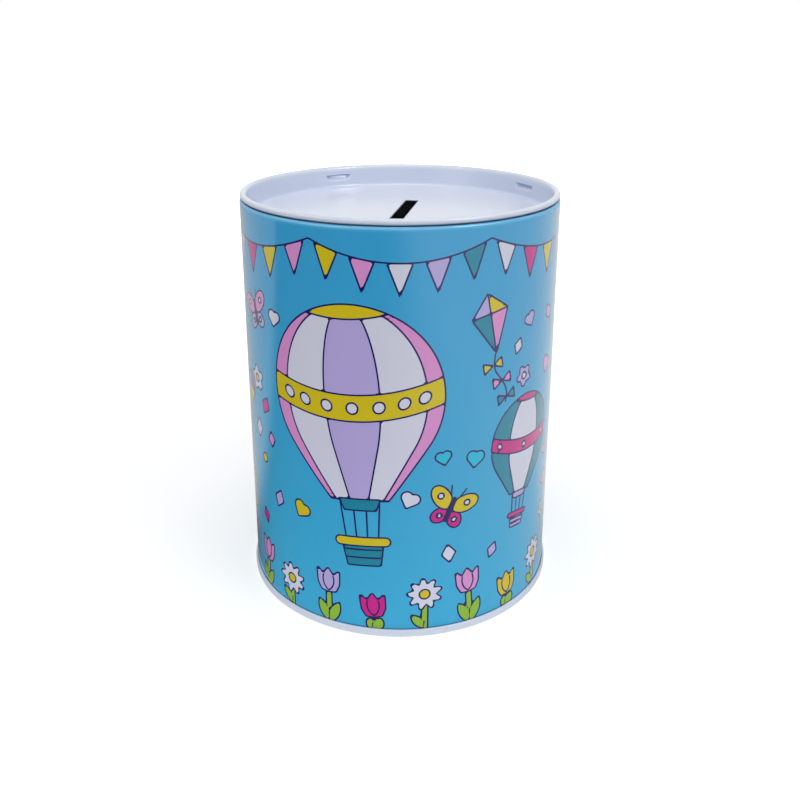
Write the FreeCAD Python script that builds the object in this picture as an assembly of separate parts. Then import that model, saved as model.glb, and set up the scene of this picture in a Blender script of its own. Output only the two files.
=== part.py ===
"""Tin money box: a printed wall, a base seamed onto it, and a slotted lid that snaps into its mouth.

Millimetres. The tin's axis is Z, its foot stands on Z = 0, and the coin slot runs along Y.
Every piece is bent from flat sheet, so each section is a middle line with a thickness.
"""
import FreeCAD, Part
import math
import os

V = FreeCAD.Vector
ORIGIN = V(0, 0, 0)
AXIS = V(0, 0, 1)

# Driving dimensions of the tin
body_diameter = 100.0  # outside of the printed wall
overall_height = 129.3  # from the foot to the top of the lid's rim
sheet = 0.25  # tinplate thickness
roll_flat_count = 2  # flats that stand for the arc of a rolled bend
fold_flat_count = 1  # the same for a small fold

# Mouth: the wall's top edge turns inward over a round shoulder, and then down in a short lip
shoulder_radius = 0.95  # outside of the bend
mouth_land = 0.2  # flat part of the turned edge
mouth_lip_depth = 0.8  # from the turned edge's top to the lip's tip

# Side seam: the lock fold inside the wall where the two ends of the sheet meet
side_seam_width = 3.0
side_seam_layers = 2  # layers of sheet that stand inside the wall
side_seam_end_gap = 1.5  # from the fold to the lip above it and to the base below it

# Base: a countersunk plate, with its edge and the wall's edge hooked into each other
seam_height = 2.4
seam_clearance = 0.02  # between neighbouring layers
hook_end_gap = 0.3  # free room at the tip of each hook
foot_bend_radius = 0.3  # of the seam's outer corners, at the middle of the sheet
countersink = 3.5  # from the foot up to the plate

# Lid rim: rolled over outward, and resting on the shoulder of the mouth
rim_height = 1.8
rim_inset = 0.15  # of the rim from the outside of the wall
rim_inner_radius = 0.6  # outside of the bend between the lid's wall and its rim
rim_return = 0.35  # straight tip of the roll
seat_gap = 0.15  # between the rim and the mouth

# Lid dish
recess_depth = 7.2  # from the top of the rim down to the panel
lid_wall_draft = 8.0  # degrees that the wall leans in towards the panel
panel_bend_radius = 1.0  # of the corner between the wall and the panel, at the middle of the sheet

# Coin slot
slot_length = 35.0
slot_width = 4.3
slot_offset = 1.2  # along X, from the axis to the slot's middle line
slot_corner = 0.9
slot_lip_depth = 0.45  # edge of the slot turned down, from the panel's top
slot_entry_bevel = 0.2  # of the slot's upper edge

# Snap dents: pressed outward from the lid's wall, with a ledge that catches under the mouth's lip
dent_count = 4
dent_bearing = 37.5  # degrees of the first dent from X
dent_width = 10.0  # along the wall, over both round ends
dent_depth = 0.85
dent_punch_radius = 3.0
dent_mouth_gap = 0.15  # between a dent and the mouth's edge as the lid is lifted
ledge_gap = 0.1  # between a dent's ledge and the lip

# Radii that follow from those sizes, at the middle of the sheet unless they say otherwise
half_sheet = sheet / 2
body_radius = body_diameter / 2  # outside
layer_pitch = sheet + seam_clearance
wall_radius = body_radius - half_sheet
base_wall_radius = wall_radius - layer_pitch
base_hook_radius = wall_radius + layer_pitch
body_hook_radius = base_hook_radius + layer_pitch
seam_radius = body_hook_radius + layer_pitch
mouth_radius = body_radius - shoulder_radius - mouth_land  # inside edge
rim_radius = body_radius - rim_inset - half_sheet

# Heights that follow, likewise
mouth_top = overall_height - rim_height - seat_gap  # upper face
lip_tip = mouth_top - mouth_lip_depth
foot_middle = half_sheet
body_bend_middle = foot_middle + layer_pitch
seam_top_middle = seam_height - half_sheet
plate_middle = countersink + half_sheet
rim_top_middle = overall_height - half_sheet
rim_bottom_middle = overall_height - rim_height + half_sheet
panel_top = overall_height - recess_depth  # upper face
panel_middle = panel_top - half_sheet
ledge_top = lip_tip - ledge_gap  # upper face

# The lid's wall leans, so its radius is set at the dents' ledges and carried up and down from there
lean = math.radians(lid_wall_draft)
lid_wall_at_ledge = mouth_radius - dent_mouth_gap - dent_depth - half_sheet


def lid_wall_radius(height):
    """Radius of the middle of the lid's wall at a height."""
    return lid_wall_at_ledge + (height - ledge_top) * math.tan(lean)


def left_of(direction):
    """The direction a quarter turn to the left in the section plane, where X is the radius."""
    return V(-direction.z, 0, direction.x)


def middle_line(path):
    """Corners of a sheet's middle line, with each bend made of flats that touch its arc.

    The path holds (radius, height) for an end or a sharp fold, and (radius, height, bend radius, flat count)
    for a bend.
    """
    places = [V(corner[0], 0, corner[1]) for corner in path]
    corners = []
    for number, corner in enumerate(path):
        here = places[number]
        if len(corner) == 2:
            corners.append(here)
            continue
        bend, flat_count = corner[2:]
        before = (here - places[number - 1]).normalize()
        after = (places[number + 1] - here).normalize()
        turn = before.getAngle(after)
        inward = (after - before).normalize()
        centre = here + inward * (bend / math.cos(turn / 2))
        step = turn / (flat_count + 1)
        reach = bend / math.cos(step / 2)
        along = (before + after).normalize()
        for count in range(flat_count + 1):
            angle = (count + 0.5) * step - turn / 2
            corners.append(centre + (along * math.sin(angle) - inward * math.cos(angle)) * reach)
    return corners


def sheet_face(corners, shift):
    """Corners of one face of a sheet, at a distance to the left of its middle line."""
    runs = [(end - start).normalize() for start, end in zip(corners, corners[1:])]
    shifted = [corners[0] + left_of(runs[0]) * shift]
    for corner, before, after in zip(corners[1:], runs, runs[1:]):
        across = left_of(before) + left_of(after)
        shifted.append(corner + across * (shift / (1 + before.dot(after))))
    shifted.append(corners[-1] + left_of(runs[-1]) * shift)
    return shifted


def spun_sheet(path):
    """Solid of a bent sheet whose middle line is turned about the axis."""
    corners = middle_line(path)
    outline = sheet_face(corners, half_sheet) + sheet_face(corners, -half_sheet)[::-1]
    section = Part.Face(Part.makePolygon(outline + outline[:1]))
    return section.revolve(ORIGIN, AXIS, 360)


def side_seam():
    """Folded strip inside the wall, at the back of the tin."""
    outer = wall_radius
    inner = body_radius - sheet * (1 + side_seam_layers)
    bottom = plate_middle + side_seam_end_gap
    top = lip_tip - side_seam_end_gap
    corners = [V(inner, 0, bottom), V(outer, 0, bottom), V(outer, 0, top), V(inner, 0, top)]
    turn = math.degrees(side_seam_width / body_radius)
    strip = Part.Face(Part.makePolygon(corners + corners[:1])).revolve(ORIGIN, AXIS, turn)
    return strip.rotated(ORIGIN, AXIS, 90 - turn / 2)


def body():
    """Printed wall, from its hook in the base seam up to the lip of its mouth."""
    hook_tip = seam_height - sheet - hook_end_gap
    turned_edge = mouth_top - half_sheet
    lip = mouth_radius + half_sheet
    wall = spun_sheet([
        (body_hook_radius, hook_tip),
        (body_hook_radius, body_bend_middle),
        (wall_radius, body_bend_middle),
        (wall_radius, turned_edge, shoulder_radius - half_sheet, roll_flat_count),
        (lip, turned_edge),
        (lip, lip_tip),
    ])
    return wall.fuse(side_seam())


def base():
    """Countersunk plate whose edge wraps the wall's hook in a double seam."""
    hook_tip = body_bend_middle + half_sheet + hook_end_gap
    return spun_sheet([
        (0, plate_middle),
        (base_wall_radius, plate_middle),
        (base_wall_radius, foot_middle),
        (seam_radius, foot_middle, foot_bend_radius, fold_flat_count),
        (seam_radius, seam_top_middle, foot_bend_radius, fold_flat_count),
        (base_hook_radius, seam_top_middle),
        (base_hook_radius, hook_tip),
    ])


def slot_block(length, width, corner, bottom, top):
    """Block along Y with rounded upright corners, centred on the slot."""
    block = Part.makeBox(width, length, top - bottom, V(slot_offset - width / 2, -length / 2, bottom))
    upright = [edge for edge in block.Edges if edge.BoundBox.ZLength > (top - bottom) / 2]
    return block.makeFillet(corner, upright)


def punch_slice(radius, centre, half_turn, bottom, top):
    """Slice between two heights of a bar bent round the axis, with balls for its ends."""
    low = math.asin((bottom - centre.z) / radius)
    high = math.asin((top - centre.z) / radius)
    bow = [
        centre + V(math.cos(lift), 0, math.sin(lift)) * radius
        for lift in (low, (low + high) / 2, high)
    ]
    back = Part.makePolygon([bow[2], V(centre.x, 0, top), V(centre.x, 0, bottom), bow[0]])
    section = Part.Face(Part.Wire([Part.Arc(*bow).toShape()] + back.Edges))
    bar = section.revolve(ORIGIN, AXIS, 2 * half_turn).rotated(ORIGIN, AXIS, -half_turn)
    ball = Part.makeSphere(radius, centre, AXIS, math.degrees(low), math.degrees(high), 360)
    return bar.fuse([ball.rotated(ORIGIN, AXIS, turn) for turn in (-half_turn, half_turn)])


def dents():
    """What the ring of dents adds outside the lid's wall, and what it takes from inside."""
    sink = dent_punch_radius - dent_depth - half_sheet
    centre = V(lid_wall_radius(ledge_top) - sink * math.cos(lean), 0, ledge_top + sink * math.sin(lean))
    reach = math.sqrt(dent_punch_radius ** 2 - sink ** 2)
    half_turn = math.degrees((dent_width / 2 - reach) / lid_wall_radius(ledge_top))
    foot = ledge_top - reach
    within = Part.makeCone(lid_wall_radius(foot), lid_wall_radius(ledge_top), reach, V(0, 0, foot))
    bulge = punch_slice(dent_punch_radius, centre, half_turn, foot, ledge_top).cut(within)
    hollow = punch_slice(dent_punch_radius - sheet, centre, half_turn, foot, ledge_top - sheet)
    bearings = [dent_bearing + number * 360 / dent_count for number in range(dent_count)]
    added = [bulge.rotated(ORIGIN, AXIS, bearing) for bearing in bearings]
    taken = [hollow.rotated(ORIGIN, AXIS, bearing) for bearing in bearings]
    return added, taken


def lid():
    """Drawn dish with a rolled rim, a coin slot with turned-down edges, and a ring of snap dents."""
    roll = (rim_height - sheet) / 2
    dish = spun_sheet([
        (0, panel_middle),
        (lid_wall_radius(panel_middle), panel_middle, panel_bend_radius, fold_flat_count),
        (lid_wall_radius(rim_top_middle), rim_top_middle, rim_inner_radius - half_sheet, fold_flat_count),
        (rim_radius, rim_top_middle, roll, roll_flat_count),
        (rim_radius, rim_bottom_middle, roll, fold_flat_count),
        (rim_radius - roll - rim_return, rim_bottom_middle),
    ])
    lip_bottom = panel_top - slot_lip_depth
    lip_length = slot_length + 2 * sheet
    lip_width = slot_width + 2 * sheet
    lip = slot_block(lip_length, lip_width, slot_corner + sheet, lip_bottom, panel_top)
    opening = slot_block(slot_length, slot_width, slot_corner, lip_bottom - sheet, panel_top + sheet)
    added, taken = dents()
    pressed = dish.fuse(added + [lip]).cut(taken + [opening])
    entry = [
        edge for edge in pressed.Edges
        if abs(edge.BoundBox.Center.z - panel_top) < half_sheet and edge.BoundBox.XLength < lip_width
        and edge.BoundBox.ZLength < half_sheet
    ]
    return pressed.makeChamfer(slot_entry_bevel, entry)


os.makedirs("parts", exist_ok=True)
for node, piece in {"printed_body": body(), "seamed_base": base(), "slotted_lid": lid()}.items():
    piece = piece.removeSplitter()
    print(node, len(piece.Solids), "solid, valid", piece.isValid(), round(piece.Volume, 1), "mm3")
    piece.exportStep(f"parts/{node}.step")
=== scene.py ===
"""Looks of the tin money box: printed wall, enamelled base and lid, stage, lamps and camera.

Metres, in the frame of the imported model: the tin's axis is Z, its foot stands on Z = 0, and the slot runs
along Y. The print alone is drawn in millimetres.
"""
import math

import bpy
import numpy as np
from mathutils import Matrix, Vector


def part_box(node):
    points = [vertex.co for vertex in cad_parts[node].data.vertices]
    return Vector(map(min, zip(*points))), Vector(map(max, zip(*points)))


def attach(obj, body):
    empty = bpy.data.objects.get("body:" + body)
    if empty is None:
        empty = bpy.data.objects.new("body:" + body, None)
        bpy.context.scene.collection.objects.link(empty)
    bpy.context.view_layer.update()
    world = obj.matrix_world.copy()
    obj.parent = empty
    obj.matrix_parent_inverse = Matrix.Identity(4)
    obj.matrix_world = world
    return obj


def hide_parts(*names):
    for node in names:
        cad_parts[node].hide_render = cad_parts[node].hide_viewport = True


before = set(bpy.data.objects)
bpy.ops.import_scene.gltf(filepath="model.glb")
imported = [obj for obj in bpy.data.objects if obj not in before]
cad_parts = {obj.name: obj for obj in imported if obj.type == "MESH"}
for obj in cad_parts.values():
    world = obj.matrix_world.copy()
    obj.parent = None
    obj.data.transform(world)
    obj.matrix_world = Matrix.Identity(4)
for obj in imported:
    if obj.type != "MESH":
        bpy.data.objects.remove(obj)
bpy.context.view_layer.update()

MM = 0.001
FULL_TURN = 2 * math.pi

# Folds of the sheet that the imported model's boxes don't tell, at the middle of the sheet
SHEET = 0.25 * MM
HALF_SHEET = SHEET / 2
LAYER = SHEET + 0.02 * MM  # one layer of the base seam with its clearance
TIGHT_BEND = 0.2 * MM
SHOULDER_BEND = 0.95 * MM - HALF_SHEET
MOUTH_LAND = 0.2 * MM
LIP_DEPTH = 0.8 * MM
SIDE_SEAM_WIDTH = 3.0 * MM
SIDE_SEAM_END_GAP = 1.5 * MM
HOOK_GAP = 0.3 * MM
SEAM_HEIGHT = 2.4 * MM
FOOT_BEND = 0.3 * MM
COUNTERSINK_BEND = 0.5 * MM
RIM_HEIGHT = 1.8 * MM
RIM_INNER_BEND = 0.9 * MM
RIM_RETURN = 0.35 * MM
LID_DRAFT = math.radians(8)
PANEL_BEND = 1.0 * MM

# Coin slot and snap dents
SLOT_LENGTH = 35.0 * MM
SLOT_WIDTH = 4.3 * MM
SLOT_OFFSET = 1.2 * MM
SLOT_CORNER = 0.9 * MM
SLOT_LIP = 0.45 * MM
SLOT_BEND = 0.2 * MM
DENT_COUNT = 4
DENT_BEARING = math.radians(37.5)
DENT_WIDTH = 10.0 * MM
DENT_DEPTH = 0.85 * MM
DENT_PUNCH = 3.0 * MM
DENT_MOUTH_GAP = 0.15 * MM
LEDGE_GAP = 0.1 * MM

# Radii and heights at the middle of the sheet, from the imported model
wall_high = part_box("printed_body")[1]
base_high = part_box("seamed_base")[1]
lid_low, lid_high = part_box("slotted_lid")
seam_radius = base_high.x - HALF_SHEET
wall_hook_radius = seam_radius - LAYER
base_hook_radius = wall_hook_radius - LAYER
wall_radius = base_hook_radius - LAYER
base_wall_radius = wall_radius - LAYER
lip_radius = wall_radius - SHOULDER_BEND - MOUTH_LAND + HALF_SHEET
turned_edge = wall_high.z - HALF_SHEET
lip_tip = wall_high.z - LIP_DEPTH
foot_height = HALF_SHEET
hook_height = foot_height + LAYER
plate_height = base_high.z - HALF_SHEET
rim_radius = lid_high.x - HALF_SHEET
rim_top = lid_high.z - HALF_SHEET
rim_bottom = lid_high.z - RIM_HEIGHT + HALF_SHEET
panel_height = lid_low.z + SLOT_LIP - HALF_SHEET
ledge_height = lip_tip - LEDGE_GAP
printed_radius = wall_radius + HALF_SHEET
lid_wall_at_ledge = lip_radius - HALF_SHEET - DENT_MOUTH_GAP - DENT_DEPTH - HALF_SHEET

# View of the photograph
CAMERA_BEARING = math.radians(9.7)
CAMERA_DISTANCE = 283.4 * MM  # from the axis
CAMERA_HEIGHT = 178.0 * MM
CAMERA_DIP = 0.311
CAMERA_LENS = 40.7
CAMERA_SHIFT = -0.106

front_angle = CAMERA_BEARING - math.pi / 2  # bearing of the wall that faces the camera
side_seam_angle = math.pi / 2

# Grids of the pieces
NO_LENGTH = 1e-6 * MM
ROUNDING = 1e-6
FINE_ANGLES = 20000
ARC_STEP = math.radians(10)
SHARP_EDGE = math.radians(60)
WALL_COLUMNS = 440
PRINT_PITCH = 0.8 * MM
PRINT_ARC = math.radians(15)
INSIDE_PITCH = 12.0 * MM
INSIDE_ARC = math.radians(22.5)
FOLD_EASE = 0.15 * MM
GROOVE_DEPTH = 0.14 * MM
GROOVE_WIDTH = 0.16 * MM
GROOVE_SPREAD = 1.2 * MM
GROOVE_CROWDING = 7
WALL_SWAY = 0.03 * MM
SWAY_TWIST = 9.0 * MM  # up the wall, for one radian of the sway's five waves
BASE_COLUMNS = 360
BASE_PITCH = 3.0 * MM
HUB_RADIUS = 2.0 * MM
LID_COLUMNS = 480
LID_PITCH = 0.2 * MM
RING_POINTS = 400
LEDGE_EASE = 0.04 * MM
PANEL_ROWS = 12
PANEL_MARGIN = 0.7 * MM
PANEL_CROWN = 0.12 * MM
PANEL_EASE = 0.3  # how much of the ease between slot and circle is cut off at each end
PANEL_STEP = 0.02  # share of the circle in the row next to the slot
DENT_SPREAD = 5.0 * MM
DENT_CROWDING = 3.5

# Wear and painted shade: how far each reaches, and the painted shade's shares in the enamel's colour
SHOULDER_RUB = 0.9 * MM
SEAM_RUB = 0.25 * MM
FOOT_RUB = 0.2 * MM
RIM_RUB = 0.5 * MM
RIM_RUB_OUT = 0.1 * MM  # from the middle of the rim's sheet
SLOT_RUB = 0.3 * MM
CORNER_REACH = 1.2 * MM
LEDGE_REACH = 1.5 * MM
WALL_REACH = 1.3 * PANEL_BEND
CORNER_SHADE = 0.25
DENT_SHADE = 0.65
RIM_SHADE = 0.35
WALL_SHADE = 0.12
BEND_SHADE = 0.18
DENT_SHALLOW = 0.1  # shares of a dent's depth between which its painted shade sets in
DENT_DEEP = 0.5


# Surfaces

def smooth_step(value, low, high):
    """0 below low, 1 above high, and a cubic ease between."""
    share = np.clip((value - low) / (high - low), 0, 1)
    return share * share * (3 - 2 * share)


def bell(value, width):
    """1 where a value is zero, and less on both sides of it, by a Gauss curve."""
    return np.exp(-(value / width) ** 2)


def lengths_along(points):
    """Length of a line of points up to each of them."""
    steps = np.linalg.norm(np.diff(points, axis=0), axis=1)
    return np.concatenate([[0], np.cumsum(steps)])


def wrapped(angle):
    """The same angle between minus and plus half a turn."""
    return (angle + math.pi) % FULL_TURN - math.pi


def columns(count, centres=(), spread=1, crowding=0):
    """Angles round the axis: equal shares of a density of 1, plus a bell of the crowding at each centre."""
    fine = np.linspace(0, FULL_TURN, FINE_ANGLES)
    density = np.ones_like(fine)
    for centre in centres:
        density += crowding * bell(wrapped(fine - centre), spread)
    amount = np.concatenate([[0], np.cumsum((density[1:] + density[:-1]) / 2)])
    return np.interp(np.arange(count) / count * amount[-1], amount, fine)


def bent_line(corners, pitch, arc_step=ARC_STEP):
    """Middle line of a bent sheet and its left normals, as two arrays of (radius, height).

    A corner is (radius, height) at an end or along a run, and (radius, height, bend) where two runs meet in
    an arc of that radius, tangent to both. Points along a run are evenly spaced, at most the pitch apart.
    """
    places = [np.array(corner[:2], float) for corner in corners]
    leave, arrive, arcs = [places[0]], [], []
    for number, corner in enumerate(corners[1:-1], 1):
        here = places[number]
        if len(corner) == 2:
            arrive.append(here)
            arcs.append(None)
            leave.append(here)
            continue
        before = (here - places[number - 1]) / np.linalg.norm(here - places[number - 1])
        after = (places[number + 1] - here) / np.linalg.norm(places[number + 1] - here)
        left = np.array([-before[1], before[0]])
        side = np.sign(left @ after)
        turn = math.acos(np.clip(before @ after, -1, 1))
        reach = corner[2] * math.tan(turn / 2)
        angles = np.linspace(0, turn, max(3, round(turn / arc_step) + 1))[:, None]
        normals = left * np.cos(angles) - side * before * np.sin(angles)
        centre = here - before * reach + left * side * corner[2]
        arcs.append((centre - normals * side * corner[2], normals))
        arrive.append(here - before * reach)
        leave.append(here + after * reach)
    arrive.append(places[-1])
    arcs.append(None)
    points, normals = [places[0][None]], []
    for start, end, arc in zip(leave, arrive, arcs):
        length = np.linalg.norm(end - start)
        if length > NO_LENGTH:
            along = (end - start) / length
            count = max(1, math.ceil(length / pitch - ROUNDING))
            left = np.array([[-along[1], along[0]]])
            if not normals:
                normals.append(left)
            points.append(start + (end - start) * (np.arange(1, count + 1) / count)[:, None])
            normals.append(np.repeat(left, count, 0))
        if arc:
            points.append(arc[0][1:])
            normals.append(arc[1][1:])
    return np.concatenate(points), np.concatenate(normals)


def turned(profile, angles):
    """Points of a profile of (radius, height) turned about the axis, as rows by columns by 3."""
    radius, height = profile[:, 0, None], profile[:, 1, None]
    flat = np.ones_like(angles)
    return np.stack([radius * np.cos(angles), radius * np.sin(angles), height * flat], -1)


def placed(name, data):
    """New object in the scene."""
    made = bpy.data.objects.new(name, data)
    bpy.context.scene.collection.objects.link(made)
    return made


def grid_mesh(name, points, poles, attributes):
    """Mesh over rows of points that close on themselves round each row.

    Without poles the last row joins the first, as round the section of a sheet. With poles, two points close
    the first and the last row. Faces point outwards when a row's neighbour lies ahead, seen from outside,
    with the columns to the right. The map OFBake unrolls the grid, by length along the rows' first points.
    """
    rows, count = points.shape[:2]
    index = np.arange(rows * count).reshape(rows, count)
    ahead = index[1:] if poles is not None else np.roll(index, -1, 0)
    here = index[:-1] if poles is not None else index
    quads = np.stack([here, np.roll(here, -1, 1), np.roll(ahead, -1, 1), ahead], -1).reshape(-1, 4)
    vertices = points.reshape(-1, 3)
    loop = points[:, 0] if poles is not None else np.concatenate([points[:, 0], points[:1, 0]])
    length = lengths_along(loop)
    up = length / length[-1]
    left_share, right_share = np.arange(count) / count, np.arange(1, count + 1) / count
    spans = len(here)
    corner_across = np.stack([left_share, right_share, right_share, left_share], -1)
    corner_up = np.stack([up[:spans], up[:spans], up[1:spans + 1], up[1:spans + 1]], -1)
    unrolled = np.stack(np.broadcast_arrays(corner_across[None], corner_up[:, None]), -1).reshape(-1, 2)
    corners, starts = quads.ravel(), np.arange(len(quads)) * 4
    if poles is not None:
        first, last = rows * count, rows * count + 1
        low = np.stack([np.full(count, first), np.roll(index[0], -1), index[0]], -1)
        high = np.stack([index[-1], np.roll(index[-1], -1), np.full(count, last)], -1)
        vertices = np.concatenate([vertices, poles])
        fans = np.concatenate([low, high])
        starts = np.concatenate([starts, len(corners) + np.arange(len(fans)) * 3])
        corners = np.concatenate([corners, fans.ravel()])
        middle = (left_share + right_share) / 2
        zero, one = np.zeros(count), np.ones(count)
        low_map = np.stack([middle, zero, right_share, zero, left_share, zero], -1).reshape(-1, 2)
        high_map = np.stack([left_share, one, right_share, one, middle, one], -1).reshape(-1, 2)
        unrolled = np.concatenate([unrolled, low_map, high_map])
    mesh = bpy.data.meshes.new(name)
    mesh.vertices.add(len(vertices))
    mesh.vertices.foreach_set("co", vertices.ravel())
    mesh.loops.add(len(corners))
    mesh.loops.foreach_set("vertex_index", corners.astype(np.int32))
    mesh.polygons.add(len(starts))
    mesh.polygons.foreach_set("loop_start", starts.astype(np.int32))
    mesh.update(calc_edges=True)
    mesh.validate()
    mesh.shade_smooth()
    mesh.set_sharp_from_angle(angle=SHARP_EDGE)
    mesh.uv_layers.new(name="OFBake").uv.foreach_set("vector", unrolled.ravel())
    for key, values in attributes.items():
        kind = "FLOAT" if values.ndim == 2 else "FLOAT_VECTOR"
        flat = values.reshape(rows * count, -1)
        if poles is not None:
            flat = np.concatenate([flat, flat[:1], flat[-1:]])
        layer = mesh.attributes.new(key, kind, "POINT")
        layer.data.foreach_set("value" if kind == "FLOAT" else "vector", flat.astype(np.float32).ravel())
    return placed(name, mesh)


# Pieces

def lid_wall(height):
    """Radius of the middle of the lid's leaning wall at a height."""
    return lid_wall_at_ledge + (height - ledge_height) * math.tan(LID_DRAFT)


def wall_piece():
    """Printed wall: the sheet's section turned about the axis, its seam a groove outside and a fold inside.

    The outer face is the middle line moved half a sheet to the right, the inner face the same to the left.
    The outer face sways in and out by two and by five slow waves round the axis, most at half its height. The
    print's fields and the wear are kept as attributes on the outer face.
    """
    route = [
        (wall_hook_radius, SEAM_HEIGHT - SHEET - HOOK_GAP),
        (wall_hook_radius, hook_height, TIGHT_BEND),
        (wall_radius, hook_height, TIGHT_BEND),
        (wall_radius, turned_edge, SHOULDER_BEND),
        (lip_radius, turned_edge, TIGHT_BEND),
        (lip_radius, lip_tip),
    ]
    fold_low, fold_high = plate_height + SIDE_SEAM_END_GAP, lip_tip - SIDE_SEAM_END_GAP
    eases = (-FOLD_EASE, FOLD_EASE)
    fold_ends = [(wall_radius, end + ease) for end in (fold_low, fold_high) for ease in eases]
    angles = columns(WALL_COLUMNS, [side_seam_angle], GROOVE_SPREAD / printed_radius, GROOVE_CROWDING)
    from_seam = wrapped(angles - side_seam_angle) * printed_radius

    middle, normals = bent_line(route, PRINT_PITCH, PRINT_ARC)
    outer = turned(middle - normals * HALF_SHEET, angles)
    height = outer[..., 2]
    bearing = np.broadcast_to(angles, height.shape)
    groove = GROOVE_DEPTH * bell(from_seam, GROOVE_WIDTH) * (height > SEAM_HEIGHT)
    sway = WALL_SWAY * np.sin(math.pi * np.clip(height / turned_edge, 0, 1)) ** 2
    sway = sway * (np.sin(2 * bearing + 0.6) + 0.5 * np.sin(5 * bearing + height / SWAY_TWIST))
    outer[..., :2] *= (1 + (sway - groove) / printed_radius)[..., None]

    middle, normals = bent_line(route[:3] + fold_ends + route[3:], INSIDE_PITCH, INSIDE_ARC)
    inner = turned(middle + normals * HALF_SHEET, angles)
    height = inner[..., 2]
    fold = 1 - smooth_step(abs(from_seam), SIDE_SEAM_WIDTH / 2 - FOLD_EASE, SIDE_SEAM_WIDTH / 2 + FOLD_EASE)
    fold = fold * ((height > fold_low) & (height < fold_high)) * 2 * SHEET
    inner[..., :2] *= (1 - fold / printed_radius)[..., None]

    up = lengths_along(outer[:, 0])
    low, high = np.argmin(outer[:, 0, 2]), np.argmax(outer[:, 0, 2])
    up -= np.interp(SEAM_HEIGHT, outer[low:high, 0, 2], up[low:high])
    across = wrapped(angles - front_angle) * printed_radius
    chart = np.broadcast_arrays(across[None] / MM, up[:, None] / MM)
    fields = litho_print(*chart, side_seam_angle - front_angle)
    fields["coated"] = np.ones(outer.shape[:2])
    fields["rub"] = bell(outer[..., 2] - turned_edge, SHOULDER_RUB)
    attributes = {}
    for key, values in fields.items():
        blank = np.full(inner.shape[:2] + values.shape[2:], FAR if values.ndim == 3 else 0.0)
        attributes[key] = np.concatenate([values, blank])
    return grid_mesh("litho_wall", np.concatenate([outer, inner[::-1]]), None, attributes)


def base_piece():
    """Base: countersunk plate and seam, one sheet's section turned about the axis and closed at two poles."""
    route = [
        (HUB_RADIUS, plate_height),
        (base_wall_radius, plate_height, COUNTERSINK_BEND),
        (base_wall_radius, foot_height, FOOT_BEND),
        (seam_radius, foot_height, FOOT_BEND),
        (seam_radius, SEAM_HEIGHT - HALF_SHEET, FOOT_BEND),
        (base_hook_radius, SEAM_HEIGHT - HALF_SHEET, TIGHT_BEND),
        (base_hook_radius, hook_height + HALF_SHEET + HOOK_GAP),
    ]
    middle, normals = bent_line(route, BASE_PITCH)
    angles = columns(BASE_COLUMNS)
    under = turned(middle - normals * HALF_SHEET, angles)
    upper = turned(middle + normals * HALF_SHEET, angles)
    points = np.concatenate([under, upper[::-1]])
    radius, height = np.hypot(points[..., 0], points[..., 1]), points[..., 2]
    coated = np.zeros(height.shape)
    coated[:len(under)] = 1
    rub = bell(radius - base_high.x, SEAM_RUB) + bell(height, FOOT_RUB)
    # Painted shade in the recess's corner, where the countersunk plate meets the wall on the enamelled
    # underside
    corner = np.hypot(radius - base_wall_radius, height - plate_height)
    painted_shade = bell(corner, CORNER_REACH) * coated
    poles = np.array([[0, 0, plate_height - HALF_SHEET], [0, 0, plate_height + HALF_SHEET]])
    fields = {"coated": coated, "rub": np.clip(rub, 0, 1), "painted_shade": CORNER_SHADE * painted_shade}
    return grid_mesh("enamel_base", points, poles, fields)


def slot_ring(shares):
    """Points and outward normals round the slot's rounded rectangle, at shares of its length from +X."""
    straight_x, straight_y = SLOT_WIDTH / 2 - SLOT_CORNER, SLOT_LENGTH / 2 - SLOT_CORNER
    turn = np.linspace(0, FULL_TURN, RING_POINTS, endpoint=False)
    normal = np.stack([np.cos(turn), np.sin(turn)], -1)
    centre = np.stack([straight_x * np.sign(normal[:, 0]), straight_y * np.sign(normal[:, 1])], -1)
    ring = centre + SLOT_CORNER * normal
    ring = np.concatenate([[[SLOT_WIDTH / 2, 0]], ring[1:], [[SLOT_WIDTH / 2, 0]]])
    normal = np.concatenate([normal, normal[:1]])
    length = lengths_along(ring)
    place = np.stack([np.interp(shares * length[-1], length, ring[:, axis]) for axis in (0, 1)], -1)
    facing = np.stack([np.interp(shares * length[-1], length, normal[:, axis]) for axis in (0, 1)], -1)
    return place + [SLOT_OFFSET, 0], facing / np.linalg.norm(facing, axis=-1, keepdims=True)


def dent_push(angles, height):
    """How far the lid's wall is pressed out: what a bar with ball ends has outside it, up to the ledge.

    The bar is bent round the axis. Past its end the reach is that of the ball, along a line from the axis.
    """
    ball = DENT_PUNCH - HALF_SHEET
    sink = DENT_PUNCH - DENT_DEPTH - HALF_SHEET
    out = lid_wall(ledge_height) - sink * math.cos(LID_DRAFT)
    middle = ledge_height + sink * math.sin(LID_DRAFT)
    pitch = FULL_TURN / DENT_COUNT
    bearing = (angles - DENT_BEARING + pitch / 2) % pitch - pitch / 2
    half_turn = (DENT_WIDTH / 2 - math.sqrt(DENT_PUNCH ** 2 - sink ** 2)) / lid_wall(ledge_height)
    beyond = np.maximum(abs(bearing) - half_turn, 0)
    inside = ball ** 2 - (height - middle) ** 2 - (out * np.sin(beyond)) ** 2
    reach = out * np.cos(beyond) + np.sqrt(np.maximum(inside, 0))
    return np.where((inside > 0) & (height < ledge_height), np.maximum(reach - lid_wall(height), 0), 0)


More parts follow.
